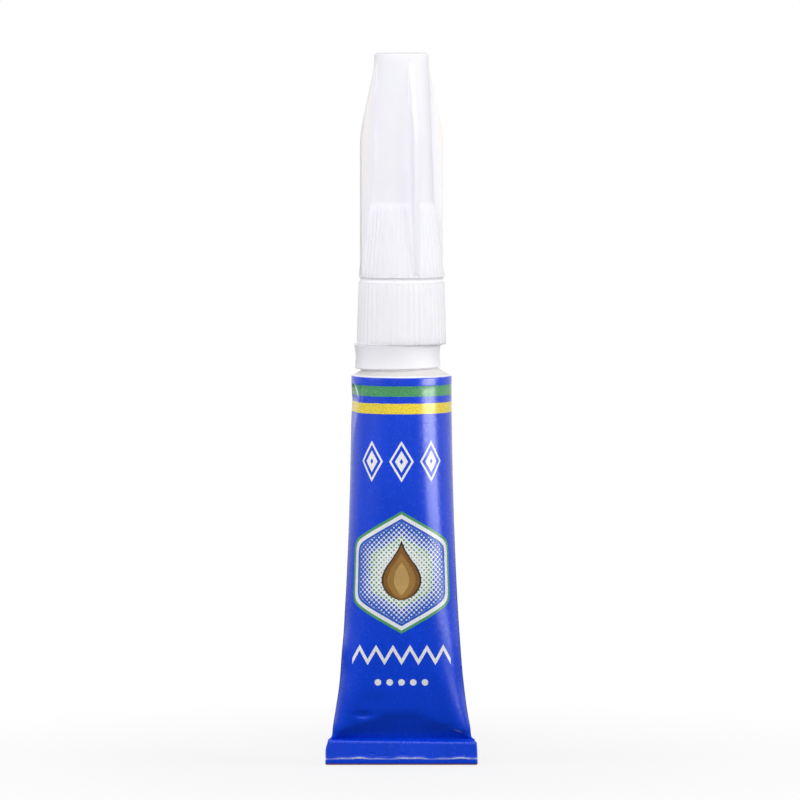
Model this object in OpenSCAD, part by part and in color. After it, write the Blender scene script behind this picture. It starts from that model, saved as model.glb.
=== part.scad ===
// Small collapsible metal tube of glue, drawn upright on its folded tail with the cap at the top.
// Origin: middle of the tail's lower edge. +Z runs up the tube to the cap, and the front faces -Y.

/* [Tube] */
// Outside diameter of the tube where it is still round
tube_d = 13.5; // [12:0.1:15]
// Height of the shoulder's edge above the tail's lower edge
tube_l = 52.8; // [40:0.2:80]
// Thickness of the tube's wall
wall = 0.15; // [0.1:0.01:0.2]
// Slope of the shoulder from the level, in degrees
shoulder_slope = 31; // [20:1:40]
// Upright thickness of the shoulder
shoulder_wall = 0.4; // [0.3:0.05:0.6]
// Depth of the stiff rim below the shoulder's edge
rim_l = 1.2; // [0.8:0.1:2]
// Diameter over the neck's thread
neck_d = 9; // [8:0.1:9.6]
// Thickness of the neck's wall
neck_wall = 0.5; // [0.4:0.05:0.8]
// Thickness of the membrane that closes the neck
membrane_t = 0.12; // [0.08:0.01:0.2]
// Height of the glue's surface above the tail's lower edge
fill_h = 43.5; // [20:0.5:48]

/* [Folded tail] */
// Height of the fold, which is where the tube starts to swell
fold_h = 3.5; // [3:0.1:5]
// How far the front flap's top stays below the swell
flap_drop = 0.15; // [0.1:0.05:0.5]
// Space between the layers of the fold
fold_gap = 0.08; // [0.05:0.01:0.15]
// Width lost to the two creases when the round tube is pressed flat
crease_loss = 0.5; // [0.2:0.05:0.8]
// Thickness of the sealing band between the two walls
seal_t = 0.08; // [0.06:0.01:0.15]
// Distance of the sealing band's ends from the creases
seal_margin = 0.4; // [0.3:0.1:1]

/* [Spacer ring] */
// Height of the loose ring between the shoulder and the nozzle
ring_h = 2.95; // [2:0.05:4]
// Thickness of the ring at its ends
ring_wall = 0.63; // [0.5:0.01:0.9]
// Radial space between the neck and the ring
ring_play = 0.7; // [0.6:0.05:1]
// Depth of the ring's drawn-in waist
ring_waist = 0.15; // [0.05:0.01:0.25]
// How far the loose ring lies off the tube's axis, to the left
ring_shift = 0.48; // [0:0.02:0.5]
// Lean of the loose ring, in degrees, its left side low
ring_tilt = 1.2; // [0:0.1:2]

/* [Nozzle] */
// Diameter over the ribs at the collar's foot
collar_d = 12.1; // [11.6:0.1:13]
// Diameter over the ribs at the collar's top
collar_top_d = 11.6; // [11:0.1:12.5]
// Height of the ribbed collar
collar_h = 8.45; // [8:0.05:11]
// Depth of the ribs on the collar
collar_rib = 0.2; // [0.1:0.02:0.3]
// Number of ribs on the collar and on the cap's skirt
rib_count = 48; // [36:1:60]
// Diameter of the step that the cap stands on
seat_d = 10; // [9.6:0.1:10.8]
// Height of that step above the collar
seat_h = 0.62; // [0.4:0.02:1]
// Diameter of the plug that fills the cap's mouth
plug_d = 8.3; // [7.6:0.1:8.8]
// Height of the plug above the step
plug_h = 5; // [4:0.1:6]
// Diameter of the spout at its foot
spout_d = 6; // [5:0.1:6.4]
// Diameter of the spout at its mouth
spout_tip_d = 2; // [1.8:0.1:2.6]
// Length of the spout above the plug
spout_l = 23.15; // [18:0.05:26]
// Length of the straight stretch at the spout's mouth
spout_tip_l = 3; // [2:0.1:5]
// Diameter of the channel through the nozzle
channel_d = 1.1; // [0.8:0.05:1.3]
// Diameter of the piercing spike at its root
spike_d = 3.2; // [2.6:0.1:4]
// Thickness of the nozzle above the neck's socket
socket_roof = 1.3; // [1:0.1:2]

/* [Cap] */
// Diameter of the cap's flat top
cap_top_d = 7.3; // [6.8:0.1:8]
// Diameter of the cap's smooth cone where it meets the skirt
cap_foot_d = 8.8; // [8.4:0.1:9.2]
// Rounding of the cap's top edge
cap_edge = 0.4; // [0.2:0.05:0.6]
// Thickness of the cap's wall
cap_wall = 0.85; // [0.7:0.05:1]
// Thickness of the cap's top
cap_roof = 1.4; // [1:0.1:2]
// Diameter over the ribs at the skirt's foot
skirt_d = 11.6; // [11.2:0.1:12]
// Diameter over the ribs at the skirt's top
skirt_top_d = 9.45; // [9.3:0.05:10]
// Height of the ribbed skirt
skirt_h = 9.25; // [8.5:0.05:11]
// Height of the bevel from the skirt to the cone
skirt_bevel = 0.6; // [0.3:0.05:1]
// Depth of the ribs on the skirt
skirt_rib = 0.16; // [0.1:0.02:0.24]
// Number of fins round the cap
fin_count = 4; // [3:1:6]
// Diameter over the fins
fin_d = 11.7; // [11.2:0.1:12.4]
// Thickness of a fin
fin_t = 0.8; // [0.5:0.05:1.2]
// Depth of the fins' upper ends below the cap's top
fin_drop = 1.3; // [0.6:0.1:3]
// Height of the fins' sloping upper ends
fin_slope_h = 9.5; // [5:0.1:12]
// Turn of the first fin to the right of the front, in degrees
fin_turn = 21; // [0:1:45]

/* [Fits] */
// Radial space between the neck's thread and its socket in the nozzle
thread_clear = 0.08; // [0.04:0.01:0.1]
// Radial space between the plug and the cap's mouth
plug_clear = 0.05; // [0.03:0.01:0.08]
// Radial space between the sealing pin and the spout's channel
pin_clear = 0.08; // [0.05:0.01:0.12]
// Height of the space between pieces that stand on each other
stack_clear = 0.05; // [0.03:0.01:0.1]
// Height of the space above the spout's mouth and the plug
head_room = 0.6; // [0.4:0.05:1]
// Depth of the sealing pin in the spout's mouth
pin_dip = 1.5; // [1:0.1:2.5]
// Space between the piercing spike and the membrane before the first use
spike_clear = 0.5; // [0.3:0.05:0.8]
// Space left over the neck when the nozzle is screwed down without the ring
pierce_room = 0.5; // [0.3:0.05:0.8]
// Space between the glue and the tube's inside, taken up by its lacquer
film = 0.04; // [0.02:0.01:0.06]

/* [Hidden] */
$fn = 96;
// Overrun of every cut past the face it opens
overrun = 0.5;

// Levels and radii, from the tail upwards
tube_r = tube_d / 2;
neck_r = neck_d / 2;
neck_in_r = neck_r - neck_wall;
function shoulder_z(r) = tube_l + (tube_r - r) * tan(shoulder_slope);
neck_z = shoulder_z(neck_r);
ring_in_r = neck_r + ring_play;
ring_r = ring_in_r + ring_wall;
ring_rise = ring_in_r * sin(ring_tilt);
ring_z = shoulder_z(ring_in_r - ring_shift) + stack_clear - ring_rise;
collar_z = ring_z + ring_h + ring_r * sin(ring_tilt) + stack_clear;
collar_top_z = collar_z + collar_h;
seat_z = collar_top_z + seat_h;
socket_top_z = seat_z - socket_roof;
neck_top_z = socket_top_z - pierce_room - ring_h;
plug_z = seat_z + plug_h;
spout_z = plug_z + spout_l;
cap_z = seat_z + stack_clear;
cap_roof_z = spout_z + head_room;
cap_top_z = cap_roof_z + cap_roof;
skirt_z = cap_z + skirt_h;
cap_foot_z = skirt_z + skirt_bevel;

// The flattened wall: each section is a slot, two round ends joined by a flat front and back. The runs
// grow as the ends shrink, so that the girth stays the same.
section_sides = 56;
section_steps = 22;
// Powers that shape how the flattening fades from the fold up to the shoulder
flatten_spread = 0.5;
flatten_pull = 1.5;
// How far the fold and the rim lap over the ends of the wall
wall_lap = 0.03;
lap_l = rim_l / 2;
ribbon_t = 2 * wall + seal_t;
fold_w = PI * tube_r - crease_loss;
pressed_half_t = ribbon_t / 2 - wall_lap;
pressed_half_w = fold_w / 2 - wall_lap;
swell_h = tube_l - lap_l - fold_h;

function flat_share(s) = pow(1 - pow(s, flatten_spread), flatten_pull);
function end_r(s) = tube_r - (tube_r - pressed_half_t) * flat_share(s);
function flat_run(s) = (pressed_half_w - pressed_half_t) * flat_share(s);
function step_share(i) = pow(i / section_steps, 2);
function section(s, inset, lift) = [
    for (j = [0:section_sides - 1])
        let (a = 180 * (2 * j + 1) / section_sides, r = end_r(s) - inset)
        [r * cos(a) + sign(cos(a)) * flat_run(s), r * sin(a), fold_h + swell_h * s + lift]
];

// Closed skin over a run of sections, each with the same number of points
module skin(sections) {
    n = len(sections[0]);
    last = len(sections) - 1;
    sides = [
        for (k = [0:last - 1], j = [0:n - 1])
            let (a = k * n + j, b = k * n + (j + 1) % n)
            each [[a, a + n, b + n], [a, b + n, b]]
    ];
    foot = [[for (j = [0:n - 1]) j]];
    head = [[for (j = [n - 1:-1:0]) last * n + j]];
    polyhedron([for (points = sections) each points], concat(foot, sides, head));
}

// Thin wall from the fold to the rim, open at the top
module tube_wall() {
    outside = [for (i = [0:section_steps]) section(step_share(i), 0, 0)];
    inside = [
        for (i = [section_steps:-1:1])
            section(step_share(i), wall, i < section_steps ? wall : 0)
    ];
    skin(concat([section(0, 0, -lap_l)], outside, inside));
}

// Rim, sloping shoulder, neck and membrane, turned about the axis
module tube_head() {
    rim_r = tube_r + wall_lap;
    rim_in_r = tube_r - wall - wall_lap;
    rotate_extrude()
        polygon([
            [rim_in_r, tube_l - rim_l],
            [rim_r, tube_l - rim_l],
            [rim_r, tube_l],
            [neck_r, neck_z],
            [neck_r, neck_top_z],
            [0, neck_top_z],
            [0, neck_top_z - membrane_t],
            [neck_in_r, neck_top_z - membrane_t],
            [neck_in_r, shoulder_z(neck_in_r) - shoulder_wall],
            [rim_in_r, shoulder_z(rim_in_r) - shoulder_wall]
        ]);
}

// Half of a flat ring about the origin, its open side up
module half_ring(r, t) {
    difference() {
        circle(r + t / 2);
        circle(r - t / 2);
        translate([-r - t, 0])
            square([2 * (r + t), r + t]);
    }
}

// The pressed tail seen from its end: down behind, up in front, and back down in between
module fold_path(t, top_z) {
    pitch = ribbon_t + fold_gap;
    bend_z = pitch + ribbon_t / 2;
    flap_z = fold_h - flap_drop - (pitch + ribbon_t) / 2;
    translate([-t / 2, bend_z])
        square([t, top_z - bend_z]);
    translate([-pitch, bend_z])
        half_ring(pitch, t);
    translate([-2 * pitch - t / 2, bend_z])
        square([t, flap_z - bend_z]);
    translate([-1.5 * pitch, flap_z])
        rotate(180)
            half_ring(pitch / 2, t);
    translate([-pitch - t / 2, bend_z])
        square([t, flap_z - bend_z]);
}

module fold_band(t, w, top_z) {
    rotate([90, 0, 90])
        linear_extrude(w, center = true)
            fold_path(t, top_z);
}

// Aluminium tube: body, folded tail, shoulder, neck and membrane in one piece
module tube() {
    color("royalblue")
        difference() {
            union() {
                tube_wall();
                tube_head();
                fold_band(ribbon_t, fold_w, fold_h);
            }
            fold_band(seal_t, fold_w - 2 * seal_margin, fold_h - lap_l);
        }
}

// Band of sealing compound between the two walls all through the fold
module tail_seal() {
    color("khaki")
        fold_band(seal_t, fold_w - 2 * seal_margin, fold_h - lap_l);
}

// Liquid filling, with air left above it
module glue() {
    inset = wall + film;
    fill_share = (fill_h - fold_h) / swell_h;
    below_shares = [for (i = [1:section_steps]) if (step_share(i) < fill_share) step_share(i)];
    color("lemonchiffon", 0.5)
        skin([for (s = concat(below_shares, [fill_share])) section(s, inset, inset)]);
}

// Loose plastic ring with a drawn-in waist
module spacer_ring() {
    waist_r = ring_r - ring_waist;
    bow_r = (pow(ring_h / 2, 2) + pow(ring_waist, 2)) / (2 * ring_waist);
    color("gainsboro")
        translate([-ring_shift, 0, ring_z])
            rotate([0, -ring_tilt, 0])
                rotate_extrude()
                    difference() {
                        translate([ring_in_r, 0])
                            square([ring_wall, ring_h]);
                        translate([waist_r + bow_r, ring_h / 2])
                            circle(bow_r);
                    }
}

// Outline of a round piece with upright ribs all the way round
module ribbed_outline(r, depth) {
    flank_shares = [0.1, 0.35, 0.65, 0.9];
    polygon([
        for (i = [0:rib_count - 1], k = [0:3])
            let (a = 360 * (i + flank_shares[k]) / rib_count, at = k == 0 || k == 3 ? r - depth : r)
            [at * cos(a), at * sin(a)]
    ]);
}

module ribbed_cone(foot_r, top_r, h, depth) {
    linear_extrude(h, scale = top_r / foot_r)
        ribbed_outline(foot_r, depth);
}

// Nozzle: ribbed collar with the neck's socket, plug, spout and hollow piercing spike
module nozzle() {
    channel_r = channel_d / 2;
    spike_z = neck_top_z + spike_clear;
    spike_tip_r = (channel_r + spike_d / 2) / 2;
    color("whitesmoke")
        difference() {
            union() {
                translate([0, 0, collar_z])
                    ribbed_cone(collar_d / 2, collar_top_d / 2, collar_h, collar_rib);
                translate([0, 0, socket_top_z])
                    cylinder(d = seat_d, h = seat_z - socket_top_z);
                translate([0, 0, socket_top_z])
                    cylinder(d = plug_d, h = plug_z - socket_top_z);
                translate([0, 0, plug_z])
                    cylinder(d1 = spout_d, d2 = spout_tip_d, h = spout_l - spout_tip_l);
                translate([0, 0, plug_z])
                    cylinder(d = spout_tip_d, h = spout_l);
            }
            difference() {
                translate([0, 0, collar_z - overrun])
                    cylinder(r = neck_r + thread_clear, h = socket_top_z - collar_z + overrun);
                translate([0, 0, spike_z])
                    cylinder(r1 = spike_tip_r, d2 = spike_d, h = socket_top_z + overrun - spike_z);
            }
            translate([0, 0, collar_z])
                cylinder(r = channel_r, h = spout_z - collar_z + overrun);
        }
}

// Cap: ribbed skirt, smooth cone, fins, hollow for the plug and the spout, and sealing pin
module cap() {
    skirt_top_r = skirt_top_d / 2;
    foot_r = cap_foot_d / 2;
    top_r = cap_top_d / 2;
    color("white")
        union() {
            difference() {
                union() {
                    translate([0, 0, cap_z])
                        ribbed_cone(skirt_d / 2, skirt_top_r, skirt_h, skirt_rib);
                    translate([0, 0, skirt_z])
                        cylinder(r1 = skirt_top_r - skirt_rib, r2 = foot_r, h = skirt_bevel);
                    cap_cone(foot_r, top_r);
                    for (i = [0:fin_count - 1])
                        rotate([90, 0, fin_turn - 90 + 360 * i / fin_count])
                            linear_extrude(fin_t, center = true)
                                fin_outline(top_r);
                }
                cap_hollow(foot_r, top_r);
            }
            translate([0, 0, spout_z - pin_dip])
                cylinder(r = channel_d / 2 - pin_clear, h = pin_dip + head_room + cap_roof / 2);
        }
}

// Smooth cone with a rounded top edge
module cap_cone(foot_r, top_r) {
    edge_z = cap_top_z - cap_edge;
    rotate_extrude() {
        polygon([
            [0, skirt_z],
            [foot_r, cap_foot_z],
            [top_r, edge_z],
            [top_r - cap_edge, edge_z],
            [top_r - cap_edge, cap_top_z],
            [0, cap_top_z]
        ]);
        translate([top_r - cap_edge, edge_z])
            circle(cap_edge);
    }
}

// A fin seen from its side, with the sloping upper end
module fin_outline(top_r) {
    fin_top_z = cap_top_z - fin_drop;
    fin_slope_z = fin_top_z - fin_slope_h;
    polygon([
        [0, cap_z],
        [fin_d / 2, cap_z],
        [fin_d / 2, fin_slope_z],
        [top_r, fin_top_z],
        [0, fin_top_z]
    ]);
}

// Mouth for the plug, and a tapered space round the spout that leaves an even wall
module cap_hollow(foot_r, top_r) {
    mouth_top_z = plug_z + head_room;
    lean = (foot_r - top_r) / (cap_top_z - cap_edge - cap_foot_z);
    translate([0, 0, cap_z - overrun])
        cylinder(r = plug_d / 2 + plug_clear, h = mouth_top_z - cap_z + overrun);
    translate([0, 0, plug_z])
        cylinder(
            r1 = foot_r - cap_wall + lean * (cap_foot_z - plug_z),
            r2 = foot_r - cap_wall - lean * (cap_roof_z - cap_foot_z),
            h = cap_roof_z - plug_z
        );
}

tube();
tail_seal();
glue();
spacer_ring();
nozzle();
cap();
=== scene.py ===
import math
import bpy
from mathutils import Matrix, Vector


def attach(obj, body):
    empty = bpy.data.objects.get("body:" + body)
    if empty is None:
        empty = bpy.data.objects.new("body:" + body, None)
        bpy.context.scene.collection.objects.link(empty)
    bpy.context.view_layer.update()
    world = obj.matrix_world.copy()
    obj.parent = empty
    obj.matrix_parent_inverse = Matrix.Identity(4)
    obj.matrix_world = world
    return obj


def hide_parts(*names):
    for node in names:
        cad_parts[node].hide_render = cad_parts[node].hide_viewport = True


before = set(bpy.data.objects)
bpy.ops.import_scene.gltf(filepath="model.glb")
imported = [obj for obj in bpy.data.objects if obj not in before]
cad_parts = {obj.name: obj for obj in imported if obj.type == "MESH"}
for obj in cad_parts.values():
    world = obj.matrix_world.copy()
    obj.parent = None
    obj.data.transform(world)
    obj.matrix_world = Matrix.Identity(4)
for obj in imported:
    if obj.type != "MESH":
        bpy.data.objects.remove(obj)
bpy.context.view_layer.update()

# The tube: one slug of aluminium, impact extruded into a thin round wall with a sloping shoulder and a
# threaded neck, then lacquered and printed while it is round. It is filled through the open tail, which is
# pressed flat and folded over twice, so the wall keeps its girth all the way down.
mm = 0.001

# Sizes are in mm. The wall is flat at the fold, where pinch narrows it, and round again round_l above it.
tube_r = 6.75
girth = 2 * math.pi * tube_r
fold_h = 3.5
ply = 0.17
pressed_run, pinch = 10.15, 0.4
round_l = 48.7
body_top = 51.6
rim_r, rim_top = 6.77, 52.7
print_top, coat_top = 52.82, 52.95
shoulder_z, shoulder_slope = 54.1, 0.6
neck_foot_r, neck_r, neck_z, neck_top = 4.55, 4.2, 54.25, 61.38
thread_core_r, thread_d, thread_lead = 4.1, 0.36, 1.25
thread_top, thread_run_in, thread_run_out = neck_top - 0.12, 0.7, 0.5

# The tail's path from the body: down at the back, round the lower bend, up a slant to the crease, up the
# front, over the top bend and down again between the two.
low_y, low_z, low_r = -0.45, 0.67, 0.45
low_turn = math.radians(176)
front_y, flap_z, top_r = -0.92, 2.93, 0.23
slant_y = low_y + low_r * math.cos(low_turn)
slant_z = low_z - low_r * math.sin(low_turn)
slant_l = (slant_y - front_y) / math.sin(low_turn)
crease_z = slant_z - slant_l * math.cos(low_turn)
back_l = fold_h - low_z
low_l = low_r * low_turn
front_l = flap_z - crease_z
top_l = math.pi * top_r
tuck_l = 1.6
fold_l = back_l + low_l + slant_l + front_l + top_l + tuck_l


def squared(r, a):
    """Radius at an angle of a bend that is pressed a little squarer than a round one."""
    return r * (abs(math.cos(a)) ** 3 + abs(math.sin(a)) ** 3) ** (-1 / 3)


def fold_place(d):
    """Middle of the pressed wall d mm past the body as (y, z), and the direction its back side faces."""
    if d < back_l:
        return 0, fold_h - d, 0
    d -= back_l
    if d < low_l:
        a = -d / low_r
        r = squared(low_r, a)
        return low_y + r * math.cos(a), low_z + r * math.sin(a), a
    d -= low_l
    if d < slant_l:
        return slant_y - d * math.sin(low_turn), slant_z - d * math.cos(low_turn), -low_turn
    d -= slant_l
    if d < front_l:
        return front_y, crease_z + d, math.pi
    d -= front_l
    if d < top_l:
        a = math.pi - d / top_r
        r = squared(top_r, a)
        return front_y + top_r + r * math.cos(a), flap_z + r * math.sin(a), a
    return front_y + 2 * top_r, flap_z - (d - top_l), 0


def slot_place(p, r, run):
    """Point of a slot-shaped section p mm round the girth from its front middle, and its outward side."""
    side = math.copysign(1, p)
    half = 2 * run + math.pi * r
    p = abs(p) * 2 * half / girth
    if p < run:
        x, y, out_x, out_y = p, -r, 0, -1
    elif p < run + math.pi * r:
        a = (p - run) / r
        x, y, out_x, out_y = run + r * math.sin(a), -r * math.cos(a), math.sin(a), -math.cos(a)
    else:
        x, y, out_x, out_y = half - p, r, 0, 1
    return side * x, y, side * out_x, out_y


def bump(a, middle, width):
    """A soft hill of height 1 that has fallen to about a third one width from its middle."""
    return math.exp(-((a - middle) / width) ** 2)


def wall_place(z):
    """End radius and straight run of the wall's slot-shaped section at a height."""
    press = (1 - max(0, (z - fold_h) / round_l) ** 0.5) ** 1.5
    return tube_r - (tube_r - ply) * press, pressed_run * press - pinch * bump(z, fold_h, 1.2)


nip_top, nip_slope, nip_edge, nip_arch = 12, 0.66, 0.06, 0.0125


def nip_depth(x, z, r, face):
    """How far the jaws that press the tail also draw in the wall above it: a hollow under an arch."""
    if z >= nip_top:
        return 0
    t = z - fold_h
    over = r - ply - nip_slope * t * t / (t + nip_edge) * (1 + nip_arch * x * x)
    return (over + math.sqrt(over * over + 0.02 * min(1, t))) / 2 * face * face


# A knock has left a flat on the upper left side: its place round the girth, the heights of its lower end,
# its widest part and its upper end, and its half width.
knock_p, knock_low, knock_z, knock_high, knock_w = -9.25, 43.5, 49.5, 52.3, 2.55


def flat_width(z):
    """Half width of the knocked flat at a height."""
    if z > knock_z:
        return knock_w * math.sqrt(max(0, (knock_high - z) / (knock_high - knock_z)))
    return knock_w * max(0, (z - knock_low) / (knock_z - knock_low)) ** 0.7


def crease_wear_and_glint(p, z):
    """Pale worn enamel and a painted highlight along the crease at the right edge of the knocked flat."""
    return 1.5 * bump(p, knock_p - 0.05 + flat_width(z), 0.34) * bump(z, 51.0, 1.0)


# Dents of the handled wall: place round the girth, height, half widths and depth; a crease that stands out
# has a depth below zero. The nick has a sharp edge. The dimples lie on the front of the fold, and the nib
# stands out at its left end.
dents = (
    (-6.5, 50.6, 0.4, 1.1, 0.12),
    (-5.6, 50.2, 0.4, 1.2, -0.05),
    (-4.8, 49.9, 0.4, 1.1, 0.05),
    (-5.2, 7.0, 1.3, 0.4, 0.13),
    (-5.0, 7.75, 1.5, 0.3, -0.05),
    (7.6, 4.9, 0.9, 0.25, -0.08),
    (6.6, 5.4, 0.8, 0.3, 0.07),
    (-3.0, 9.0, 2.4, 0.8, 0.06),
    (2.2, 6.6, 3.0, 0.6, 0.05),
    (8.2, 17.0, 1.6, 3.0, -0.12),
    (-8.4, 16.0, 1.6, 2.0, -0.15),
)
nick_p, nick_z, nick_w, nick_h, nick_d = -5.3, 7.05, 1.5, 0.55, 0.16
dimples = ((-4.0, 1.61), (-2.0, 1.38), (0.05, 1.53))
nib_x, nib_z, nib_l = -9.5, 2.3, 0.2
# A scuff above the right end of the fold and a scratch on the ridge above the nick: pale worn enamel with a
# painted highlight.
scuff_glint_p, scuff_glint_z, scratch_glint_p, scratch_glint_z = 7.9, 4.75, -5.0, 7.6


def body_point(p, z):
    """Place of the pressed and dented wall, and its wear with painted highlights, p mm round the girth and z
    mm up.
    """
    r, run = wall_place(z)
    x, y, out_x, out_y = slot_place(p, r, run)
    dent = nip_depth(x, z, r, out_y)
    dent += sum(d * bump(p, at, w) * bump(z, up, h) for at, up, w, h, d in dents)
    dent += max(0, flat_width(z) ** 2 - (p - knock_p) ** 2) / (2 * tube_r)
    dent += nick_d * max(0, 1 - ((p - nick_p) / nick_w) ** 2 - ((z - nick_z) / nick_h) ** 2)
    uneven = 0.035 * bump(z, 8, 12) * (1 - bump(z, fold_h, 0.6))
    dent += uneven * math.sin(0.8 * p + 1.1) * math.sin(0.9 * z + 0.5 * p)
    # The crease line, the scuff and the scratch are pale worn enamel and also a painted highlight on the
    # creases and the ridge.
    wear_and_glint = crease_wear_and_glint(p, z)
    wear_and_glint += 0.6 * bump(p, scuff_glint_p, 0.8) * bump(z + 0.3 * (p - scuff_glint_p), scuff_glint_z, 0.15)
    wear_and_glint += 0.5 * bump(p, scratch_glint_p, 1.0) * bump(z, scratch_glint_z, 0.16)
    return (x - out_x * dent, y - out_y * dent, z), wear_and_glint


def fold_point(p, d):
    """Place of the folded wall, and its wear with a painted highlight on the crease, p mm round the girth
    and d mm past the body.
    """
    y, z, a = fold_place(d)
    front = d - back_l - low_l
    up = min(1, max(0, (front - slant_l) / front_l))
    x, h = slot_place(p, ply, pressed_run - pinch * bump(d, 0, 0.9))[:2]
    # The flap narrows and tilts a little towards its top, and its crease is wavy.
    x += (0.3 if x < 0 else -0.12) * up * abs(x) / 10
    wave = math.sin(0.9 * x + 0.6) + 0.6 * math.sin(2.3 * x + 2.0)
    if h > 0:
        h += (0.035 + 0.02 * wave) * bump(front, slant_l + 0.1, 0.16)
        if front > slant_l:
            h -= sum(0.07 * bump(x, at_x, 0.2) * bump(z, at_z, 0.14) for at_x, at_z in dimples)
    z += 0.06 * wave * bump(front, slant_l, 0.5)
    y += 0.03 * math.sin(0.5 * x + 1.0) * up
    z += (0.06 - 0.011 * x) * up
    if front > slant_l and x < nib_x:
        x -= nib_l * bump(z, nib_z, 0.16) * min(1, nib_x - x)
    # The crease line is pale stretched enamel and also a painted highlight along the crease; the flap's ends
    # are worn.
    wear_and_glint = (0.72 + 0.2 * wave) * bump(front, slant_l + 0.04, 0.13) + 0.75 * bump(abs(x), 10.3, 0.1)
    return (x, y + h * math.cos(a), z + h * math.sin(a)), wear_and_glint


def thread_point(x, y, z):
    """Place on the neck with its rounded thread, which runs out at both ends."""
    turns = (z - neck_z) / thread_lead - math.atan2(y, x) / (2 * math.pi)
    crest = min(1, max(0, 3 * (abs(2 * (turns % 1) - 1) - 0.35)))
    ends = min(1, (z - neck_z) / thread_run_in, (thread_top - z) / thread_run_out)
    r = thread_core_r + thread_d * crest * max(0, ends)
    return x / neck_r * r, y / neck_r * r, z


def steps(first, last, count):
    """Even steps from the first value up to the last, without the last."""
    return [first + (last - first) * i / count for i in range(count)]


def turn(name, around, profile):
    """Turns a form on the Z axis: a circle is extruded ring by ring along (radius, height) points in mm."""
    r, z = profile[0]
    bpy.ops.object.select_all(action="DESELECT")
    bpy.ops.mesh.primitive_circle_add(vertices=around, radius=r * mm, location=(0, 0, z * mm))
    made = bpy.context.object
    made.name = made.data.name = name
    bpy.ops.object.mode_set(mode="EDIT")
    bpy.ops.mesh.select_all(action="SELECT")
    for next_r, next_z in profile[1:]:
        rise = (0, 0, (next_z - z) * mm)
        bpy.ops.mesh.extrude_region_move(TRANSFORM_OT_translate={"value": rise})
        bpy.ops.transform.resize(value=(next_r / r, next_r / r, 1), center_override=(0, 0, 0))
        r, z = next_r, next_z
    bpy.ops.object.mode_set(mode="OBJECT")
    bpy.ops.object.transform_apply(location=True, rotation=False, scale=False)
    return made


def close_up(made):
    """Closes the open ends, merges doubles, points the faces outwards and smooths the shading."""
    bpy.ops.object.select_all(action="DESELECT")
    made.select_set(True)
    bpy.context.view_layer.objects.active = made
    bpy.ops.object.mode_set(mode="EDIT")
    bpy.ops.mesh.select_all(action="SELECT")
    bpy.ops.mesh.remove_doubles(threshold=0.0005 * mm)
    bpy.ops.mesh.fill_holes(sides=0)
    bpy.ops.mesh.select_all(action="SELECT")
    bpy.ops.mesh.normals_make_consistent(inside=False)
    bpy.ops.object.mode_set(mode="OBJECT")
    bpy.ops.object.shade_smooth_by_angle(angle=math.radians(40))


# The unbent wall, from the tail's hidden end up to the rim, the shoulder, the neck and its membrane. Its
# rings lie closer where it bends.
tail = steps(0, back_l, 10) + steps(back_l, back_l + low_l, 14)
tail += steps(back_l + low_l, fold_l - tuck_l - top_l, 40)
tail += steps(fold_l - tuck_l - top_l, fold_l - tuck_l, 10) + steps(fold_l - tuck_l, fold_l, 3) + [fold_l]
heights = [fold_h - d for d in reversed(tail)][:-1]
heights += steps(fold_h, 7, 20) + steps(7, 14, 16) + steps(14, 46, 50) + steps(46, body_top, 14) + [body_top]
tube_profile = [(tube_r, z) for z in heights]
tube_profile += [(rim_r, z) for z in (51.75, 52.0, 52.25, 52.5, rim_top)]
tube_profile += [(6.75, 52.77), (6.68, 52.83), (6.35, 53.02)]
tube_profile += [(r, shoulder_z - (r - neck_foot_r) * shoulder_slope) for r in (6.0, 5.5, 5.0, neck_foot_r)]
tube_profile += [(neck_r, z) for z in steps(neck_z, thread_top, 57)]
tube_profile += [(4.15, neck_top - 0.1), (4.0, neck_top), (3.6, neck_top), (3.5, neck_top - 0.1)]
tube_profile += [(0.4, neck_top - 0.12)]
tube = turn("tube_shell", around=168, profile=tube_profile)
flat = [vertex.co.copy() / mm for vertex in tube.data.vertices]
worn_and_glint = []
for vertex, (x, y, z) in zip(tube.data.vertices, flat):
    p = math.atan2(x, -y) * tube_r
    point, wear_and_glint = (x, y, z), 0
    if z < fold_h:
        point, wear_and_glint = fold_point(p, fold_h - z)
    elif z < body_top + 0.05:
        point, wear_and_glint = body_point(p, z)
    elif z < rim_top - 0.1:
        wear_and_glint = crease_wear_and_glint(p, z)
    elif neck_z - 0.01 < z < thread_top + 0.01:
        point = thread_point(x, y, z)
    vertex.co = [c * mm for c in point]
    worn_and_glint.append(wear_and_glint)

# The print's own sheet: one girth across from the back seam, and 100 mm up from 10 mm below the origin.
sheet_l, sheet_foot = 100, 10
sheet_uv = tube.data.uv_layers.new(name="print")
for face in tube.data.polygons:
    across = [math.atan2(flat[i][0], -flat[i][1]) / (2 * math.pi) for i in face.vertices]
    if max(across) - min(across) > 0.5:
        across = [a + 1 if a < 0 else a for a in across]
    for loop, i, a in zip(face.loop_indices, face.vertices, across):
        sheet_uv.data[loop].uv = (a + 0.5, (flat[i][2] + sheet_foot) / sheet_l)
    height = sum(flat[i][2] for i in face.vertices) / len(face.vertices)
    face.material_index = 0 if height < print_top else 1 if height < coat_top else 2
wear_and_glint_mark = tube.data.attributes.new("wear_and_glint", "FLOAT", "POINT")
wear_and_glint_mark.data.foreach_set("value", worn_and_glint)


def linear(colour):
    """Turns an sRGB hex colour into the linear one that Blender mixes."""
    parts = [int(colour[i : i + 2], 16) / 255 for i in (1, 3, 5)]
    return [c / 12.92 if c <= 0.04045 else ((c + 0.055) / 1.055) ** 2.4 for c in parts] + [1]


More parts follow.
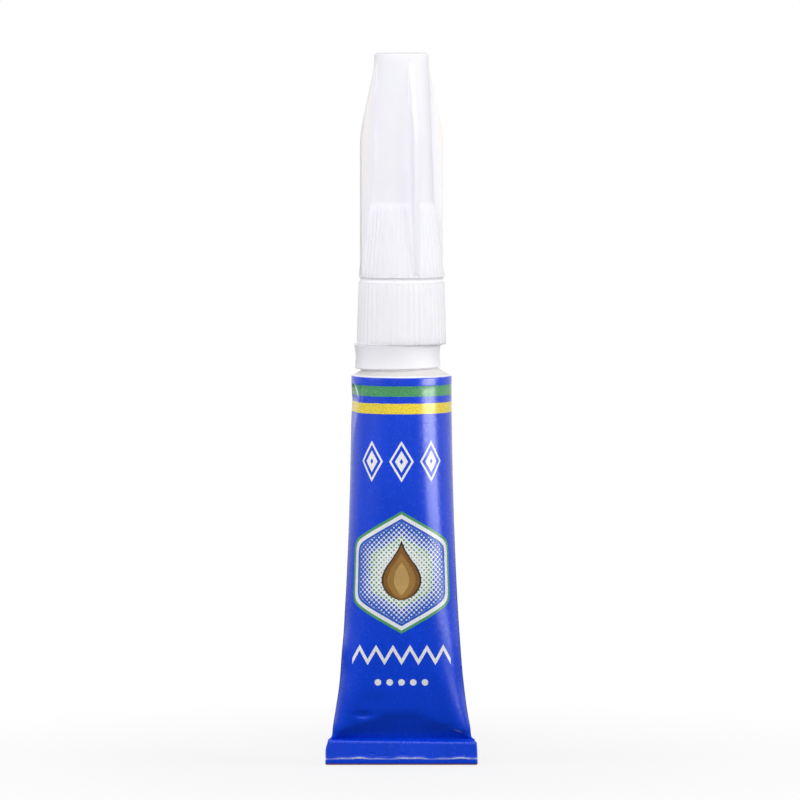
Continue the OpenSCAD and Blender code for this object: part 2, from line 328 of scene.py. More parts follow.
def node(tree, kind, links, **settings):
    """Adds a shader node; links gives its sockets a value or another node's first live output."""
    made = tree.nodes.new("ShaderNode" + kind)
    for name, value in settings.items():
        setattr(made, name, value)
    for socket, value in links.items():
        if isinstance(value, bpy.types.Node):
            value = next(output for output in value.outputs if output.enabled)
        if isinstance(value, bpy.types.NodeSocket):
            tree.links.new(value, made.inputs[socket])
        else:
            made.inputs[socket].default_value = value
    return made


def finish_named(name):
    """Starts a material and gives it with its node tree and its shader."""
    made = bpy.data.materials.new(name)
    made.use_nodes = True
    return made, made.node_tree, made.node_tree.nodes["Principled BSDF"]


# Printed enamel over aluminium: an even glossy blue with a faint orange peel, so that lights draw a soft
# edged band on it, with grainy green and yellow stripes and small bare flecks where the folds cracked it.
# The sheet gives a place on the print in mm: across from the front middle, and up.
blue, green, yellow, white = "#0846e5", "#53a56c", "#f9df40", "#f8f9fc"
enamel, tree, skin = finish_named("printed_enamel")
place = node(tree, "UVMap", {}, uv_map="print")
sheet = node(
    tree,
    "VectorMath",
    {0: place, 1: (girth, sheet_l, 0), 2: (-girth / 2, -sheet_foot, 0)},
    operation="MULTIPLY_ADD",
)
axes = node(tree, "SeparateXYZ", {0: sheet})
aside = node(tree, "Math", {0: axes.outputs[0]}, operation="ABSOLUTE")

# The stripes round the top have slightly ragged edges; their ramp runs over 60 mm of the sheet.
stripes_l, stripes_z, stripes_half = 60, 49.8, 1.95
ragged = node(tree, "TexNoise", {"Vector": sheet, "Scale": 2.5, "Detail": 2})
edge = node(tree, "Math", {0: ragged, 1: 0.12, 2: axes.outputs[1]}, operation="MULTIPLY_ADD")
level = node(tree, "Math", {0: edge, 1: stripes_l}, operation="DIVIDE")
stripes = node(tree, "ValToRGB", {0: level})
stripe_bands = [(0, blue)]
for low, high, colour in ((47.9, 49.3, yellow), (50.22, 51.6, green)):
    stripe_bands += [(low / stripes_l, colour), (high / stripes_l, blue)]

# A row of white diamonds, each a frame with a smaller diamond in it. Its cells repeat across the sheet, and
# reach beyond it up and down.
beyond = 90
diamond_z, diamond_pitch, diamond_w, diamond_h, diamonds_end = 41.6, 4.2, 1.8, 3.0, 6.3
cell_high, cell_low = (diamond_pitch / 2, beyond, 1), (-diamond_pitch / 2, -beyond, -1)
row = node(tree, "VectorMath", {0: sheet, 1: (0, diamond_z, 0)}, operation="SUBTRACT")
cell = node(tree, "VectorMath", {0: row, 1: cell_high, 2: cell_low}, operation="WRAP")
cell = node(tree, "VectorMath", {0: cell}, operation="ABSOLUTE")
cell = node(tree, "VectorMath", {0: cell, 1: (1 / diamond_w, 1 / diamond_h, 0)}, operation="DOT_PRODUCT")
rings = node(tree, "Math", {0: cell, 1: 0.31}, operation="PINGPONG")
diamonds = node(tree, "Math", {0: rings, 1: 0.13}, operation="GREATER_THAN")
inside = node(tree, "Math", {0: cell, 1: 0.93}, operation="LESS_THAN")
diamonds = node(tree, "Math", {0: diamonds, 1: inside}, operation="MULTIPLY")
within = node(tree, "Math", {0: aside, 1: diamonds_end}, operation="LESS_THAN")
diamonds = node(tree, "Math", {0: diamonds, 1: within}, operation="MULTIPLY")

# A white zigzag.
zigzag_z, zigzag_step, zigzag_slope, zigzag_line, zigzag_end = 14.4, 1.15, 1.7, 0.42, 6.9
zigzag = node(tree, "Math", {0: axes.outputs[0], 1: zigzag_step}, operation="PINGPONG")
zigzag = node(tree, "Math", {0: zigzag, 1: zigzag_slope, 2: zigzag_z}, operation="MULTIPLY_ADD")
zigzag = node(tree, "Math", {0: axes.outputs[1], 1: zigzag, 2: zigzag_line}, operation="COMPARE")
within = node(tree, "Math", {0: aside, 1: zigzag_end}, operation="LESS_THAN")
zigzag = node(tree, "Math", {0: zigzag, 1: within}, operation="MULTIPLY")

# A row of white dots.
dots_z, dots_pitch, dot_r, dots_end = 11.6, 1.6, 0.45, 4.0
cell_high, cell_low = (dots_pitch / 2, beyond, 1), (-dots_pitch / 2, -beyond, -1)
row = node(tree, "VectorMath", {0: sheet, 1: (0, dots_z, 0)}, operation="SUBTRACT")
cell = node(tree, "VectorMath", {0: row, 1: cell_high, 2: cell_low}, operation="WRAP")
cell = node(tree, "VectorMath", {0: cell}, operation="LENGTH")
dots = node(tree, "Math", {0: cell, 1: dot_r}, operation="LESS_THAN")
within = node(tree, "Math", {0: aside, 1: dots_end}, operation="LESS_THAN")
dots = node(tree, "Math", {0: dots, 1: within}, operation="MULTIPLY")
figures = node(tree, "Math", {0: diamonds, 1: zigzag}, operation="MAXIMUM")
figures = node(tree, "Math", {0: figures, 1: dots}, operation="MAXIMUM")
inked = node(tree, "Mix", {0: figures, 6: stripes, 7: linear(white)}, data_type="RGBA")

# A six-sided badge with rounded corners, framed in green, white and blue. Its ramps run 10 mm out from its
# middle, so its edges are given as shares of that.
badge_z, badge_l, badge_round = 26.6, 10, 1.4
badge_share, frame_share, line_share, field_share = 0.72, 0.68, 0.63, 0.6
badge = node(tree, "VectorMath", {0: sheet, 1: (0, badge_z, 0)}, operation="SUBTRACT")
corner = node(tree, "VectorMath", {0: badge}, operation="ABSOLUTE")
side = node(tree, "VectorMath", {0: corner, 1: (1, 0, 0)}, operation="DOT_PRODUCT")
slope = node(tree, "VectorMath", {0: corner, 1: (0.5, 0.866, 0)}, operation="DOT_PRODUCT")
out = node(tree, "Math", {0: side, 1: slope, 2: badge_round}, operation="SMOOTH_MAX")
out = node(tree, "Math", {0: out, 1: badge_l}, operation="DIVIDE")
badge_ink = node(tree, "ValToRGB", {0: out})
badge_bands = [(0, white), (field_share, "#2d5fd0"), (line_share, white), (frame_share, green)]
on_badge = node(tree, "Math", {0: out, 1: badge_share}, operation="LESS_THAN")
inked = node(tree, "Mix", {0: on_badge, 6: inked, 7: badge_ink}, data_type="RGBA")

# The badge's dot screen, turned by 45 degrees, thins towards its middle.
dot_w, turned = 0.24, math.radians(45)
cell_high, cell_low = (dot_w, dot_w, 1), (-dot_w, -dot_w, -1)
screen = node(tree, "VectorRotate", {0: badge, "Angle": turned}, rotation_type="Z_AXIS")
screen = node(tree, "VectorMath", {0: screen, 1: cell_high, 2: cell_low}, operation="WRAP")
screen = node(tree, "VectorMath", {0: screen}, operation="LENGTH")
dot_size = node(tree, "MapRange", {0: out, 1: 0.12, 2: field_share, 3: 0.03, 4: 0.26})
screen = node(tree, "Math", {0: screen, 1: dot_size}, operation="LESS_THAN")
on_field = node(tree, "Math", {0: out, 1: field_share}, operation="LESS_THAN")
screen = node(tree, "Math", {0: screen, 1: on_field}, operation="MULTIPLY")
dot_ink = node(tree, "ValToRGB", {0: out})
dot_bands = [(0, green), (0.42, "#2d63cf")]
inked = node(tree, "Mix", {0: screen, 6: inked, 7: dot_ink}, data_type="RGBA")

# A drop of glue on the badge: a curve gives its half width from foot to tip, and four browns fill it.
drop_w, drop_h, drop_foot_share = 2.7, 8.2, 0.46
drop = node(
    tree,
    "VectorMath",
    {0: badge, 1: (1 / drop_w, 1 / drop_h, 0), 2: (0, drop_foot_share, 0)},
    operation="MULTIPLY_ADD",
)
drop = node(tree, "SeparateXYZ", {0: drop})
half = node(tree, "FloatCurve", {1: drop.outputs[1]})
curve = half.mapping.curves[0].points
curve[0].location, curve[1].location = (0, 0), (1, 0)
for at in ((0.05, 0.46), (0.16, 0.82), (0.33, 1.0), (0.5, 0.86), (0.68, 0.5), (0.86, 0.17)):
    curve.new(*at)
half.mapping.update()
reach = node(tree, "Math", {0: drop.outputs[0]}, operation="ABSOLUTE")
depth = node(tree, "Math", {0: half, 1: reach}, operation="SUBTRACT")
drop_ink = node(tree, "ValToRGB", {0: depth})
drop_bands = [(0, "#4a3526"), (0.09, "#8a6234"), (0.3, "#a97f45"), (0.62, "#c9a466")]
on_drop = node(tree, "Math", {0: depth, 1: 0.005}, operation="GREATER_THAN")
inked = node(tree, "Mix", {0: on_drop, 6: inked, 7: drop_ink}, data_type="RGBA")

# Each ramp is set to hard bands of ink, each from its place on.
inks = ((stripes, stripe_bands), (badge_ink, badge_bands), (dot_ink, dot_bands), (drop_ink, drop_bands))
for ramp, bands in inks:
    points = ramp.color_ramp.elements
    ramp.color_ramp.interpolation = "CONSTANT"
    while len(points) < len(bands):
        points.new(1)
    for point, (start, colour) in zip(points, bands):
        point.position, point.color = start, linear(colour)

# The ink's grain, 0.15 mm, shows in the pale stripes; a slow drift of the colour, 6 mm across, shows all
# over.
grain = node(tree, "TexNoise", {"Vector": sheet, "Scale": 6, "Detail": 2})
in_stripes = node(tree, "Math", {0: edge, 1: stripes_z, 2: stripes_half}, operation="COMPARE")
thin_ink = node(tree, "MapRange", {0: in_stripes, 3: 0.86, 4: 0.58})
thick_ink = node(tree, "MapRange", {0: in_stripes, 3: 1.1, 4: 1.34})
grain = node(tree, "MapRange", {0: grain, 1: 0.3, 2: 0.7, 3: thin_ink, 4: thick_ink})
drift = node(tree, "TexNoise", {"Vector": sheet, "Scale": 0.16, "Detail": 2})
drift = node(tree, "MapRange", {0: drift, 1: 0.3, 2: 0.7, 3: 0.92, 4: 1.06})
ink = node(tree, "Math", {0: grain, 1: drift}, operation="MULTIPLY")
inked = node(tree, "VectorMath", {0: inked, 1: ink}, operation="MULTIPLY")

# Worn places are paler and flecked with bare metal, and the creases also get a painted highlight; the tail's
# lower edge carries a thin amber line.
wear_glint_mask = node(tree, "Attribute", {}, attribute_name="wear_and_glint")
pale = node(tree, "MapRange", {0: wear_glint_mask.outputs["Fac"], 1: 0.2, 2: 0.9, 3: 0, 4: 0.8})
inked = node(tree, "Mix", {0: pale, 6: inked, 7: linear("#c8d4ff")}, data_type="RGBA")
flecks = node(tree, "TexNoise", {"Vector": sheet, "Scale": 3.5, "Detail": 4})
flecks = node(tree, "Math", {0: flecks, 1: wear_glint_mask.outputs["Fac"]}, operation="MULTIPLY")
flecks = node(tree, "MapRange", {0: flecks, 1: 0.34, 2: 0.46})
inked = node(tree, "Mix", {0: flecks, 6: inked, 7: linear("#e8ecfa")}, data_type="RGBA")
upright = node(tree, "TexCoord", {})
upright = node(tree, "SeparateXYZ", {0: upright.outputs["Object"]})
amber = node(tree, "MapRange", {0: upright.outputs[2], 1: 0.18 * mm, 2: 0.3 * mm, 3: 0.9, 4: 0})
inked = node(tree, "Mix", {0: amber, 6: inked, 7: linear("#e08a35")}, data_type="RGBA")
tree.links.new(inked.outputs[2], skin.inputs["Base Color"])

# The orange peel, 0.7 mm across, stirs the gloss and the surface a little.
peel = node(tree, "TexNoise", {"Vector": sheet, "Scale": 1.4, "Detail": 3})
gloss = node(tree, "MapRange", {0: peel, 1: 0.3, 2: 0.7, 3: 0.2, 4: 0.3})
tree.links.new(gloss.outputs[0], skin.inputs["Roughness"])
peel_bump = node(tree, "Bump", {"Strength": 0.12, "Distance": 0.05 * mm, "Height": peel})
tree.links.new(peel_bump.outputs[0], skin.inputs["Normal"])


def clouded(tree, per_mm, detail, dark, pale):
    """Clouds of two tones, so many to a mm of the piece; gives the clouds and the tones."""
    place = node(tree, "TexCoord", {}).outputs["Object"]
    cloud = node(tree, "TexNoise", {"Vector": place, "Scale": per_mm / mm, "Detail": detail})
    tone = node(tree, "Mix", {0: cloud, 6: linear(dark), 7: linear(pale)}, data_type="RGBA")
    return cloud, tone


# White base coat: the lacquer under the print, which shows as a satin white line round the rim.
base_coat, tree, skin = finish_named("white_base_coat")
cloud, tone = clouded(tree, per_mm=1.5, detail=2, dark="#f2f2f5", pale="#fcfcfd")
tree.links.new(tone.outputs[2], skin.inputs["Base Color"])
skin.inputs["Roughness"].default_value = 0.45

# Bare aluminium: pale grey and satin. The rings that the die leaves round the shoulder, 0.12 mm apart, are
# too fine to show one by one and only soften the sheen. A wave at scale 1 has a crest every 0.314.
bare, tree, skin = finish_named("bare_aluminium")
skin.inputs["Metallic"].default_value = 0.2
place = node(tree, "TexCoord", {}).outputs["Object"]
lines = node(
    tree,
    "TexWave",
    {"Vector": place, "Scale": 0.314 / (0.12 * mm), "Distortion": 1.0, "Detail": 1},
    wave_type="RINGS",
    rings_direction="Z",
)
tone = node(tree, "Mix", {0: lines, 6: linear("#e4e1e0"), 7: linear("#f0eeed")}, data_type="RGBA")
tree.links.new(tone.outputs[2], skin.inputs["Base Color"])
satin = node(tree, "MapRange", {0: lines, 3: 0.5, 4: 0.62})
tree.links.new(satin.outputs[0], skin.inputs["Roughness"])

for finish in (enamel, base_coat, bare):
    tube.data.materials.append(finish)
close_up(tube)
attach(tube, "tube_body")
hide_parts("tube")

# The tail seal: a band of latex, laid in the open tail before it is pressed, that the folds hold tight.
# It stays inside the metal and takes the same folds.
seal_start, seal_l, seal_w, seal_t = 0.6, fold_l - 0.9, 19.2, 0.08
bpy.ops.object.select_all(action="DESELECT")
bpy.ops.mesh.primitive_grid_add(x_subdivisions=12, y_subdivisions=80, size=1)
seal = bpy.context.object
seal.name = seal.data.name = "tail_seal_band"
for vertex in seal.data.vertices:
    y, z = fold_place(seal_start + (vertex.co.y + 0.5) * seal_l)[:2]
    vertex.co = (vertex.co.x * seal_w * mm, y * mm, z * mm)
thickness = seal.modifiers.new("thickness", "SOLIDIFY")
thickness.thickness, thickness.offset = seal_t * mm, 0
bpy.ops.object.modifier_apply(modifier="thickness")
close_up(seal)

# Dried latex: a dull amber band of uneven tone.
latex, tree, skin = finish_named("dried_latex")
cloud, tone = clouded(tree, per_mm=0.8, detail=3, dark="#b88f4a", pale="#d9bf85")
tree.links.new(tone.outputs[2], skin.inputs["Base Color"])
skin.inputs["Roughness"].default_value = 0.55
seal.data.materials.append(latex)
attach(seal, "tube_body")
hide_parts("tail_seal")

# The glue: a thin clear liquid, filled in through the tail, that takes the wall's shape up to a level
# surface some way under the shoulder. It stays inside the metal.
glue_low, glue_top, glue_gap = 5.0, 43.5, 0.3
glue_heights = steps(glue_low, 14, 20) + steps(14, glue_top, 20) + [glue_top]
glue = turn("glue_filling", around=96, profile=[(tube_r, z) for z in glue_heights])
for vertex in glue.data.vertices:
    x, y, z = vertex.co / mm
    r, run = wall_place(z)
    x, y, out_x, out_y = slot_place(math.atan2(x, -y) * tube_r, r, run)
    gap = min(glue_gap, r / 4) + nip_depth(x, z, r, out_y)
    vertex.co = ((x - out_x * gap) * mm, (y - out_y * gap) * mm, z * mm)
close_up(glue)

# Clear glue: water clear with a faint straw tint, and a bright wet surface.
liquid, tree, skin = finish_named("clear_glue")
cloud, tone = clouded(tree, per_mm=0.2, detail=1, dark="#f4f2e2", pale="#fbfaf2")
tree.links.new(tone.outputs[2], skin.inputs["Base Color"])
skin.inputs["Roughness"].default_value = 0.05
skin.inputs["Transmission Weight"].default_value = 0.9
skin.inputs["IOR"].default_value = 1.45
glue.data.materials.append(liquid)
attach(glue, "tube_body")
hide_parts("glue")

# The spacer ring: a loose ring moulded in soft polyethylene, slipped over the neck. It leans to the left on
# the shoulder and keeps the nozzle off the membrane until the first use.
ring_h, ring_r, ring_bore, waist_d = 2.95, 5.83, 5.2, 0.15
ring_foot, ring_top, ring_lean = 53.961, 57.06, 0.021
ring_shift, lip_shift, lip_gap = 0.48, 0.25, 0.04
waist = [
    (ring_r - waist_d * (1 - (2 * share - 1) ** 2), ring_h * share)
    for share in steps(0.06, 0.94, 12) + [0.94]
]

# The outline runs from the bore round the inner lip and the foot, up the waisted outside and over the top.
ring_profile = [(ring_bore, 0.0), (4.95, -0.6), (5.22, -0.6), (5.25, -0.2), (5.3, 0.0)]
ring_profile += [(5.77, 0.0), (5.81, 0.03), (5.825, 0.08)] + waist
ring_profile += [(ring_r, 2.9), (5.825, 2.93), (5.8, ring_h)]
ring_profile += [(5.28, ring_h), (ring_bore, 2.85), (ring_bore, 0.0)]
ring = turn("spacer_ring_moulded", around=144, profile=ring_profile)
close_up(ring)
for vertex in ring.data.vertices:
    x, y, z = vertex.co / mm
    foot = ring_foot + ring_lean * x
    shift = lip_shift if z < -0.1 else ring_shift + ring_lean * z
    x, z = x - shift, foot + z / ring_h * (ring_top - foot)
    # The inner lip settles on the slope of the shoulder.
    shoulder = shoulder_z + lip_gap - (math.hypot(x, y) - neck_foot_r) * shoulder_slope
    z = max(z, min(foot, shoulder))
    vertex.co = (x * mm, y * mm, z * mm)

# Polyethylene: milky and a little waxy, so that its highlights are broad and faint.
ring_plastic, tree, skin = finish_named("milky_polyethylene")
cloud, tone = clouded(tree, per_mm=0.35, detail=3, dark="#f2f1f7", pale="#f9f8fd")
tree.links.new(tone.outputs[2], skin.inputs["Base Color"])
waxy = node(tree, "MapRange", {0: cloud, 3: 0.55, 4: 0.68})
tree.links.new(waxy.outputs[0], skin.inputs["Roughness"])
skin.inputs["Subsurface Weight"].default_value = 0.15
skin.inputs["Subsurface Radius"].default_value = (1, 1, 1)
skin.inputs["Subsurface Scale"].default_value = 0.8 * mm
ring.data.materials.append(ring_plastic)
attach(ring, "ring_body")
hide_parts("spacer_ring")


# The nozzle: one polyethylene moulding that screws on to the neck. A ribbed collar for the fingers, a seat
# and a plug for the cap, and a long spout; a hollow spike inside the collar opens the membrane.
def ribbed(made, depth, low, high, inner):
    """Presses grooves between the ribs into the outside of a turned form, from one height to another."""
    for vertex in made.data.vertices:
        x, y, z = vertex.co / mm
        r = math.hypot(x, y)
        if low <= z <= high and r > inner:
            phase = math.atan2(x, -y) * rib_count / (2 * math.pi) % 1
            hollow = depth * (0.5 + 0.5 * math.cos(2 * math.pi * phase)) ** 0.7
            vertex.co.x *= (r - hollow) / r
            vertex.co.y *= (r - hollow) / r


rib_count = 48
tip_z, plug_top, seat_z, socket_top, spike_z, collar_z = 94.303, 71.153, 66.153, 64.853, 61.903, 57.083
plug_r, lip_r, groove_r, collar_r, socket_r, bore_r = 4.15, 5.66, 5.5, 5.8, 4.58, 0.55
collar_rib_z, collar_h, collar_flare = 65.3, 8.0, 0.25

# The outline runs from the spout's mouth down its outside, over the plug, the seat and the groove, down the
# collar, and up again through the socket, the spike and the bore. Points close together round an edge.
nozzle_profile = [(0.56, tip_z), (0.9, tip_z), (0.98, 94.22), (1.0, 91.303), (2.85, 71.35), (2.98, plug_top)]
nozzle_profile += [(3.8, plug_top), (4.02, 71.0), (4.12, 70.7), (plug_r, 70.2), (plug_r, 66.4), (4.2, 66.2)]
nozzle_profile += [(4.4, seat_z), (5.6, seat_z), (lip_r, 66.13), (lip_r, 66.08), (5.52, 65.93)]
nozzle_profile += [(groove_r, 65.82), (5.52, 65.7), (lip_r, 65.55), (5.75, 65.48), (5.78, 65.4)]
for share in steps(0, 1, 8) + [1]:
    nozzle_profile += [(collar_r + collar_flare * share, collar_rib_z - collar_h * share)]
nozzle_profile += [(6.03, 57.25), (5.97, 57.15), (5.9, 57.1), (5.83, collar_z), (4.75, collar_z)]
nozzle_profile += [(socket_r, 57.25), (socket_r, socket_top), (1.6, socket_top), (1.075, spike_z)]
nozzle_profile += [(bore_r, spike_z), (bore_r, 94.0), (0.56, tip_z)]
nozzle = turn("nozzle_moulded", around=384, profile=nozzle_profile)
ribbed(nozzle, depth=0.13, low=57.08, high=65.44, inner=5.7)

# Ragged flash stands in the groove under the cap.
groove_low, groove_high = 65.6, 66.1
for vertex in nozzle.data.vertices:
    x, y, z = vertex.co / mm
    r, a = math.hypot(x, y), math.atan2(y, x)
    if groove_r - 0.1 < r < groove_r + 0.1 and groove_low < z < groove_high:
        flash = 0.05 * math.sin(17 * a) + 0.04 * math.sin(29 * a + 1) + 0.03 * math.sin(7 * a + 2)
        vertex.co.x *= 1 + flash / r
        vertex.co.y *= 1 + flash / r
close_up(nozzle)

# Moulded polyethylene: white and waxy with hardly any shine, and light spreads a little way under its skin,
# so that the ribs stay pale in their grooves.
collar_plastic, tree, skin = finish_named("moulded_polyethylene")
cloud, tone = clouded(tree, per_mm=0.3, detail=3, dark="#f5f4fa", pale="#fbfafe")
tree.links.new(tone.outputs[2], skin.inputs["Base Color"])
waxy = node(tree, "MapRange", {0: cloud, 3: 0.58, 4: 0.7})
tree.links.new(waxy.outputs[0], skin.inputs["Roughness"])
skin.inputs["Specular IOR Level"].default_value = 0.25
skin.inputs["Subsurface Weight"].default_value = 0.15
skin.inputs["Subsurface Radius"].default_value = (1, 0.85, 0.75)
skin.inputs["Subsurface Scale"].default_value = 1.5 * mm
nozzle.data.materials.append(collar_plastic)
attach(nozzle, "nozzle_body")
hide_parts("nozzle")

# The cap: one polypropylene moulding pushed over the plug. A ribbed skirt, a smooth cone and four thin fins
# to turn or pull it by; a pin inside stands in the spout's mouth and keeps it shut.
pin_z, roof_z, mouth_z = 92.803, 94.903, 66.17
skirt_r, skirt_z, skirt_h, skirt_taper = 5.78, 66.4, 9.0, 1.055
cone_r, cone_z, cone_h, cone_taper = 4.4, 76.05, 19.85, 0.75
edge_r = 0.4
edge_z, cap_top = cone_z + cone_h, cone_z + cone_h + edge_r
flat_r = cone_r - cone_taper - edge_r

# The outline runs from the pin up to the roof, down the inside to the mouth, and up the skirt and the cone
# to the top. Points close together round an edge.
cap_profile = [(0.1, pin_z), (0.4, pin_z), (0.47, 92.9), (0.47, 94.8), (0.6, roof_z), (2.85, roof_z)]
cap_profile += [(2.95, 94.8), (3.7, 71.9), (3.9, 71.753), (4.2, 71.6), (4.2, 66.45), (4.35, mouth_z)]
cap_profile += [(5.4, mouth_z), (5.72, mouth_z), (5.76, 66.19), (skirt_r, 66.23)]
for share in steps(0, 1, 10) + [1]:
    cap_profile += [(skirt_r - skirt_taper * share, skirt_z + skirt_h * share)]
cap_profile += [(4.66, 75.6), (4.5, 75.9), (cone_r, cone_z)]
for share in steps(0.02, 1, 14) + [1]:
    cap_profile += [(cone_r - cone_taper * share, cone_z + cone_h * share)]
for a in steps(0.2, math.pi / 2, 6):
    cap_profile += [(flat_r + edge_r * math.cos(a), edge_z + edge_r * math.sin(a))]
cap_profile += [(flat_r, cap_top), (1.6, cap_top), (0.1, cap_top)]
cap = turn("cap_moulded", around=384, profile=cap_profile)
ribbed(cap, depth=0.11, low=66.22, high=75.65, inner=4.62)
close_up(cap)

# One fin is cut from a plate: a slope takes off its upper corner, a bevel rounds the bend that this leaves,
# and the outline is drawn out to the fin's thickness. Three copies follow, and all four join the cap.
fin_r, fin_root_r, fin_end_r, fin_t = 5.85, 3.3, 3.7, 0.8
fin_low, fin_slope, fin_top = 66.6, 85.5, 95.0
fin_bend_r, fin_edge_r, fin_count, first_fin = 1.4, 0.12, 4, 21
fin_lean = math.atan((fin_r - fin_end_r) / (fin_top - fin_slope))
bpy.ops.object.select_all(action="DESELECT")
bpy.ops.mesh.primitive_plane_add(size=1)
fin = bpy.context.object
outline = ((fin_root_r, fin_low), (fin_r, fin_low), (fin_r, fin_top), (fin_root_r, fin_top))
for vertex, (r, z) in zip((fin.data.vertices[i] for i in (0, 1, 3, 2)), outline):
    vertex.co = (-fin_t / 2 * mm, -r * mm, z * mm)
bpy.ops.object.mode_set(mode="EDIT")
bpy.ops.mesh.select_all(action="SELECT")
bpy.ops.mesh.bisect(
    plane_co=(0, -fin_r * mm, fin_slope * mm),
    plane_no=(0, -math.cos(fin_lean), math.sin(fin_lean)),
    clear_outer=True,
)
bpy.ops.mesh.select_all(action="DESELECT")
bpy.ops.object.mode_set(mode="OBJECT")
for vertex in fin.data.vertices:
    vertex.select = vertex.co.y < -(fin_r - 0.05) * mm and vertex.co.z > (fin_slope - 1) * mm
bpy.ops.object.mode_set(mode="EDIT")
bpy.ops.mesh.bevel(offset=fin_bend_r * mm, segments=6, affect="VERTICES")
bpy.ops.mesh.select_all(action="SELECT")
bpy.ops.mesh.extrude_region_move(TRANSFORM_OT_translate={"value": (fin_t * mm, 0, 0)})
bpy.ops.mesh.select_all(action="SELECT")
bpy.ops.mesh.normals_make_consistent(inside=False)
bpy.ops.object.mode_set(mode="OBJECT")
rounding = fin.modifiers.new("rounding", "BEVEL")
rounding.width, rounding.segments, rounding.limit_method = fin_edge_r * mm, 3, "ANGLE"
bpy.ops.object.modifier_apply(modifier="rounding")
bpy.ops.object.shade_smooth_by_angle(angle=math.radians(40))
fins = [fin]
for i in range(1, fin_count):
    copy = fin.copy()
    copy.data = fin.data.copy()
    bpy.context.collection.objects.link(copy)
    fins.append(copy)
for i, part in enumerate(fins):
    part.data.transform(Matrix.Rotation(math.radians(first_fin + 360 / fin_count * i), 4, "Z"))
bpy.ops.object.select_all(action="DESELECT")
for part in fins:
    part.select_set(True)
bpy.context.view_layer.objects.active = fin
bpy.ops.object.join()
bpy.ops.object.select_all(action="DESELECT")
cap.select_set(True)
bpy.context.view_layer.objects.active = cap
union = cap.modifiers.new("fins", "BOOLEAN")
union.operation, union.solver, union.object = "UNION", "EXACT", fin
bpy.ops.object.modifier_apply(modifier="fins")
bpy.data.objects.remove(fin)
bpy.ops.object.shade_smooth_by_angle(angle=math.radians(40))

# How far out a point lies on the fins at the left and right, which are seen against the light: 1 at their
# edges. The cap's colour uses it for painted warm light and painted shade on those fins.
thin = cap.data.attributes.new("thin", "FLOAT", "POINT")
for vertex, mark in zip(cap.data.vertices, thin.data):
    x, y, z = vertex.co / mm
    r = math.hypot(x, y)
    body = skirt_r - skirt_taper * (z - skirt_z) / skirt_h
    if z > cone_z - 0.05:
        body = cone_r - cone_taper * (z - cone_z) / cone_h
    reach = fin_r - max(0, z - fin_slope) * math.tan(fin_lean)
    beside = min(1, max(0, (abs(x) / max(r, 0.1) - 0.5) / 0.3))
    mark.value = beside * min(1, max(0, r - body) / max(0.1, reach - body))

# Moulded polypropylene: white with a faint violet cast and a low waxy shine; the fins at its sides get a
# painted warm tone that stands for light coming through them, and painted grey shade along their edges.
cap_plastic, tree, skin = finish_named("moulded_polypropylene")
cloud, tone = clouded(tree, per_mm=0.25, detail=3, dark="#f3f2f9", pale="#f9f8fe")
fin_glow_mark = node(tree, "Attribute", {}, attribute_name="thin").outputs["Fac"]
# Painted light: the side fins get a warm tone that stands for light coming through them.
tone = node(tree, "Mix", {0: fin_glow_mark, 6: tone, 7: linear("#f8f3ef")}, data_type="RGBA")
fin_edge_shade = node(tree, "MapRange", {0: fin_glow_mark, 1: 0.88, 2: 0.97})
# Painted shade: the side fins are greyer along their edges.
tone = node(tree, "Mix", {0: fin_edge_shade, 6: tone, 7: linear("#eeecee")}, data_type="RGBA")
tree.links.new(tone.outputs[2], skin.inputs["Base Color"])
waxy = node(tree, "MapRange", {0: cloud, 3: 0.58, 4: 0.7})
tree.links.new(waxy.outputs[0], skin.inputs["Roughness"])
skin.inputs["Specular IOR Level"].default_value = 0.25
skin.inputs["Subsurface Weight"].default_value = 0.2
skin.inputs["Subsurface Radius"].default_value = (1, 0.85, 0.75)
skin.inputs["Subsurface Scale"].default_value = 1.2 * mm
cap.data.materials.clear()
cap.data.materials.append(cap_plastic)
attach(cap, "cap_body")
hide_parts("cap")

# The studio: a round sheet of paper, a white surround and five lamps. A large soft lamp hangs above in front
# and one stands at each side, a fill in front draws no highlight, and a strip on the right draws nothing but
# the band on the enamel. Sizes here are in metres.
floor_r, floor_z = 0.4, -0.05 * mm
bpy.ops.object.select_all(action="DESELECT")
bpy.ops.mesh.primitive_circle_add(vertices=96, radius=floor_r, fill_type="NGON", location=(0, 0, 0))
floor = bpy.context.object
floor.name = "floor"
floor.data.transform(Matrix.Translation((0, 0, floor_z)))

# White paper: white to the camera, with a soft shadow near the tube that fades away within 90 mm. It throws
# little light back, so that the tube's lower end stays deep.
paper, tree, skin = finish_named("white_paper")
skin.inputs["Roughness"].default_value = 0.9
place = node(tree, "TexCoord", {}).outputs["Object"]
far = node(tree, "VectorMath", {0: place}, operation="LENGTH")
fade = node(tree, "MapRange", {0: far, 1: 0.02, 2: 0.09, 3: 0.8, 4: 1}, interpolation_type="SMOOTHSTEP")
rays = node(tree, "LightPath", {}).outputs
seen = node(tree, "Math", {0: rays["Is Camera Ray"], 1: rays["Is Transmission Ray"]}, operation="MAXIMUM")
tone = node(tree, "Mix", {0: seen, 6: linear("#333333"), 7: linear("#f2f2f2")}, data_type="RGBA")
tree.links.new(tone.outputs[2], skin.inputs["Base Color"])
seen = node(tree, "Math", {0: seen, 1: fade}, operation="MULTIPLY")
glow = node(tree, "Emission", {"Color": linear("#ffffff"), "Strength": 1})
paper_mix = node(tree, "MixShader", {0: seen, 1: skin, 2: glow})
tree.links.new(paper_mix.outputs[0], tree.nodes["Material Output"].inputs[0])
floor.data.materials.append(paper)

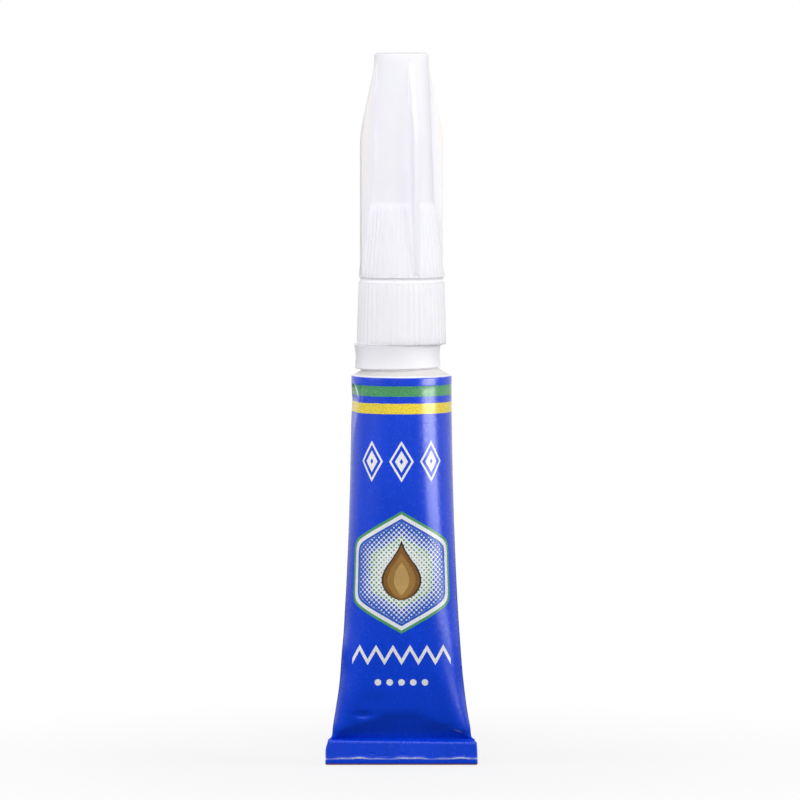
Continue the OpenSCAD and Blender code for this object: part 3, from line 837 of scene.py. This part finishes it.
# The surround is white to the camera. Gloss mirrors a white wall behind, a dimmer one above and at the left,
# and a dark room in front; all other light from it is brightest at the level of the floor and below.
surround = bpy.data.worlds.new("surround")
bpy.context.scene.world = surround
surround.use_nodes = True
tree = surround.node_tree
tree.nodes.clear()
dark_room = 0.06
place = node(tree, "TexCoord", {}).outputs["Generated"]
aim = node(tree, "SeparateXYZ", {0: place}).outputs
behind = node(tree, "MapRange", {0: aim[1], 1: -0.2, 2: 0.4, 3: dark_room, 4: 1})
above = node(tree, "MapRange", {0: aim[2], 1: 0.3, 2: 0.7, 3: dark_room, 4: 0.6})
left = node(tree, "MapRange", {0: aim[0], 1: -0.3, 2: -0.85, 3: dark_room, 4: 0.55})
mirrored = node(tree, "Math", {0: behind, 1: above}, operation="MAXIMUM")
mirrored = node(tree, "Math", {0: mirrored, 1: left}, operation="MAXIMUM")
soft = node(tree, "MapRange", {0: aim[2], 1: 0.0, 2: 0.7, 3: 1, 4: 0.2})
rays = node(tree, "LightPath", {}).outputs
level = node(tree, "Mix", {0: rays["Is Glossy Ray"], 2: soft, 3: mirrored}, data_type="FLOAT")
seen = node(tree, "Math", {0: rays["Is Camera Ray"], 1: rays["Is Transmission Ray"]}, operation="MAXIMUM")
level = node(tree, "Math", {0: level, 1: seen}, operation="MAXIMUM")
glow = node(tree, "Background", {"Color": linear("#ffffff"), "Strength": level})
node(tree, "OutputWorld", {0: glow})
bpy.context.scene.view_settings.view_transform = "Standard"

# Lamps: name, place, height of the point they face, width, height and watts.
lamps = (
    ("key", (0.0, -0.42, 0.48), 0.05, 0.4, 0.3, 0.75),
    ("fill", (0.0, -0.58, 0.2), 0.05, 0.3, 0.3, 0.92),
    ("left", (-0.47, -0.2, 0.24), 0.05, 0.3, 0.3, 0.76),
    ("right", (0.47, -0.12, 0.24), 0.05, 0.3, 0.3, 0.93),
    ("strip", (0.43, -0.19, 0.06), 0.045, 0.28, 0.2, 2.2),
)
for name, at, aim_z, wide, tall, watts in lamps:
    lamp = bpy.data.lights.new(name, "AREA")
    lamp.shape, lamp.size, lamp.size_y, lamp.energy = "RECTANGLE", wide, tall, watts
    holder = bpy.data.objects.new(name, lamp)
    bpy.context.collection.objects.link(holder)
    holder.location = at
    holder.rotation_euler = (Vector(at) - Vector((0, 0, aim_z))).to_track_quat("Z", "Y").to_euler()
    holder.visible_diffuse, holder.visible_glossy = name != "strip", name != "fill"

# The camera: far off with a long lens, about level with the cap's top and looking slightly down.
camera = bpy.data.objects.new("camera", bpy.data.cameras.new("camera"))
bpy.context.collection.objects.link(camera)
distance, rise, field, sensor = 0.9, math.radians(3.5), 0.108, 36
aim_x, aim_z = -0.0002, 0.0495
camera.data.sensor_width = sensor
camera.data.lens = sensor * distance / field
camera.location = (aim_x, -distance * math.cos(rise), aim_z + distance * math.sin(rise))
camera.rotation_euler = (math.pi / 2 - rise, 0, 0)
bpy.context.scene.camera = camera
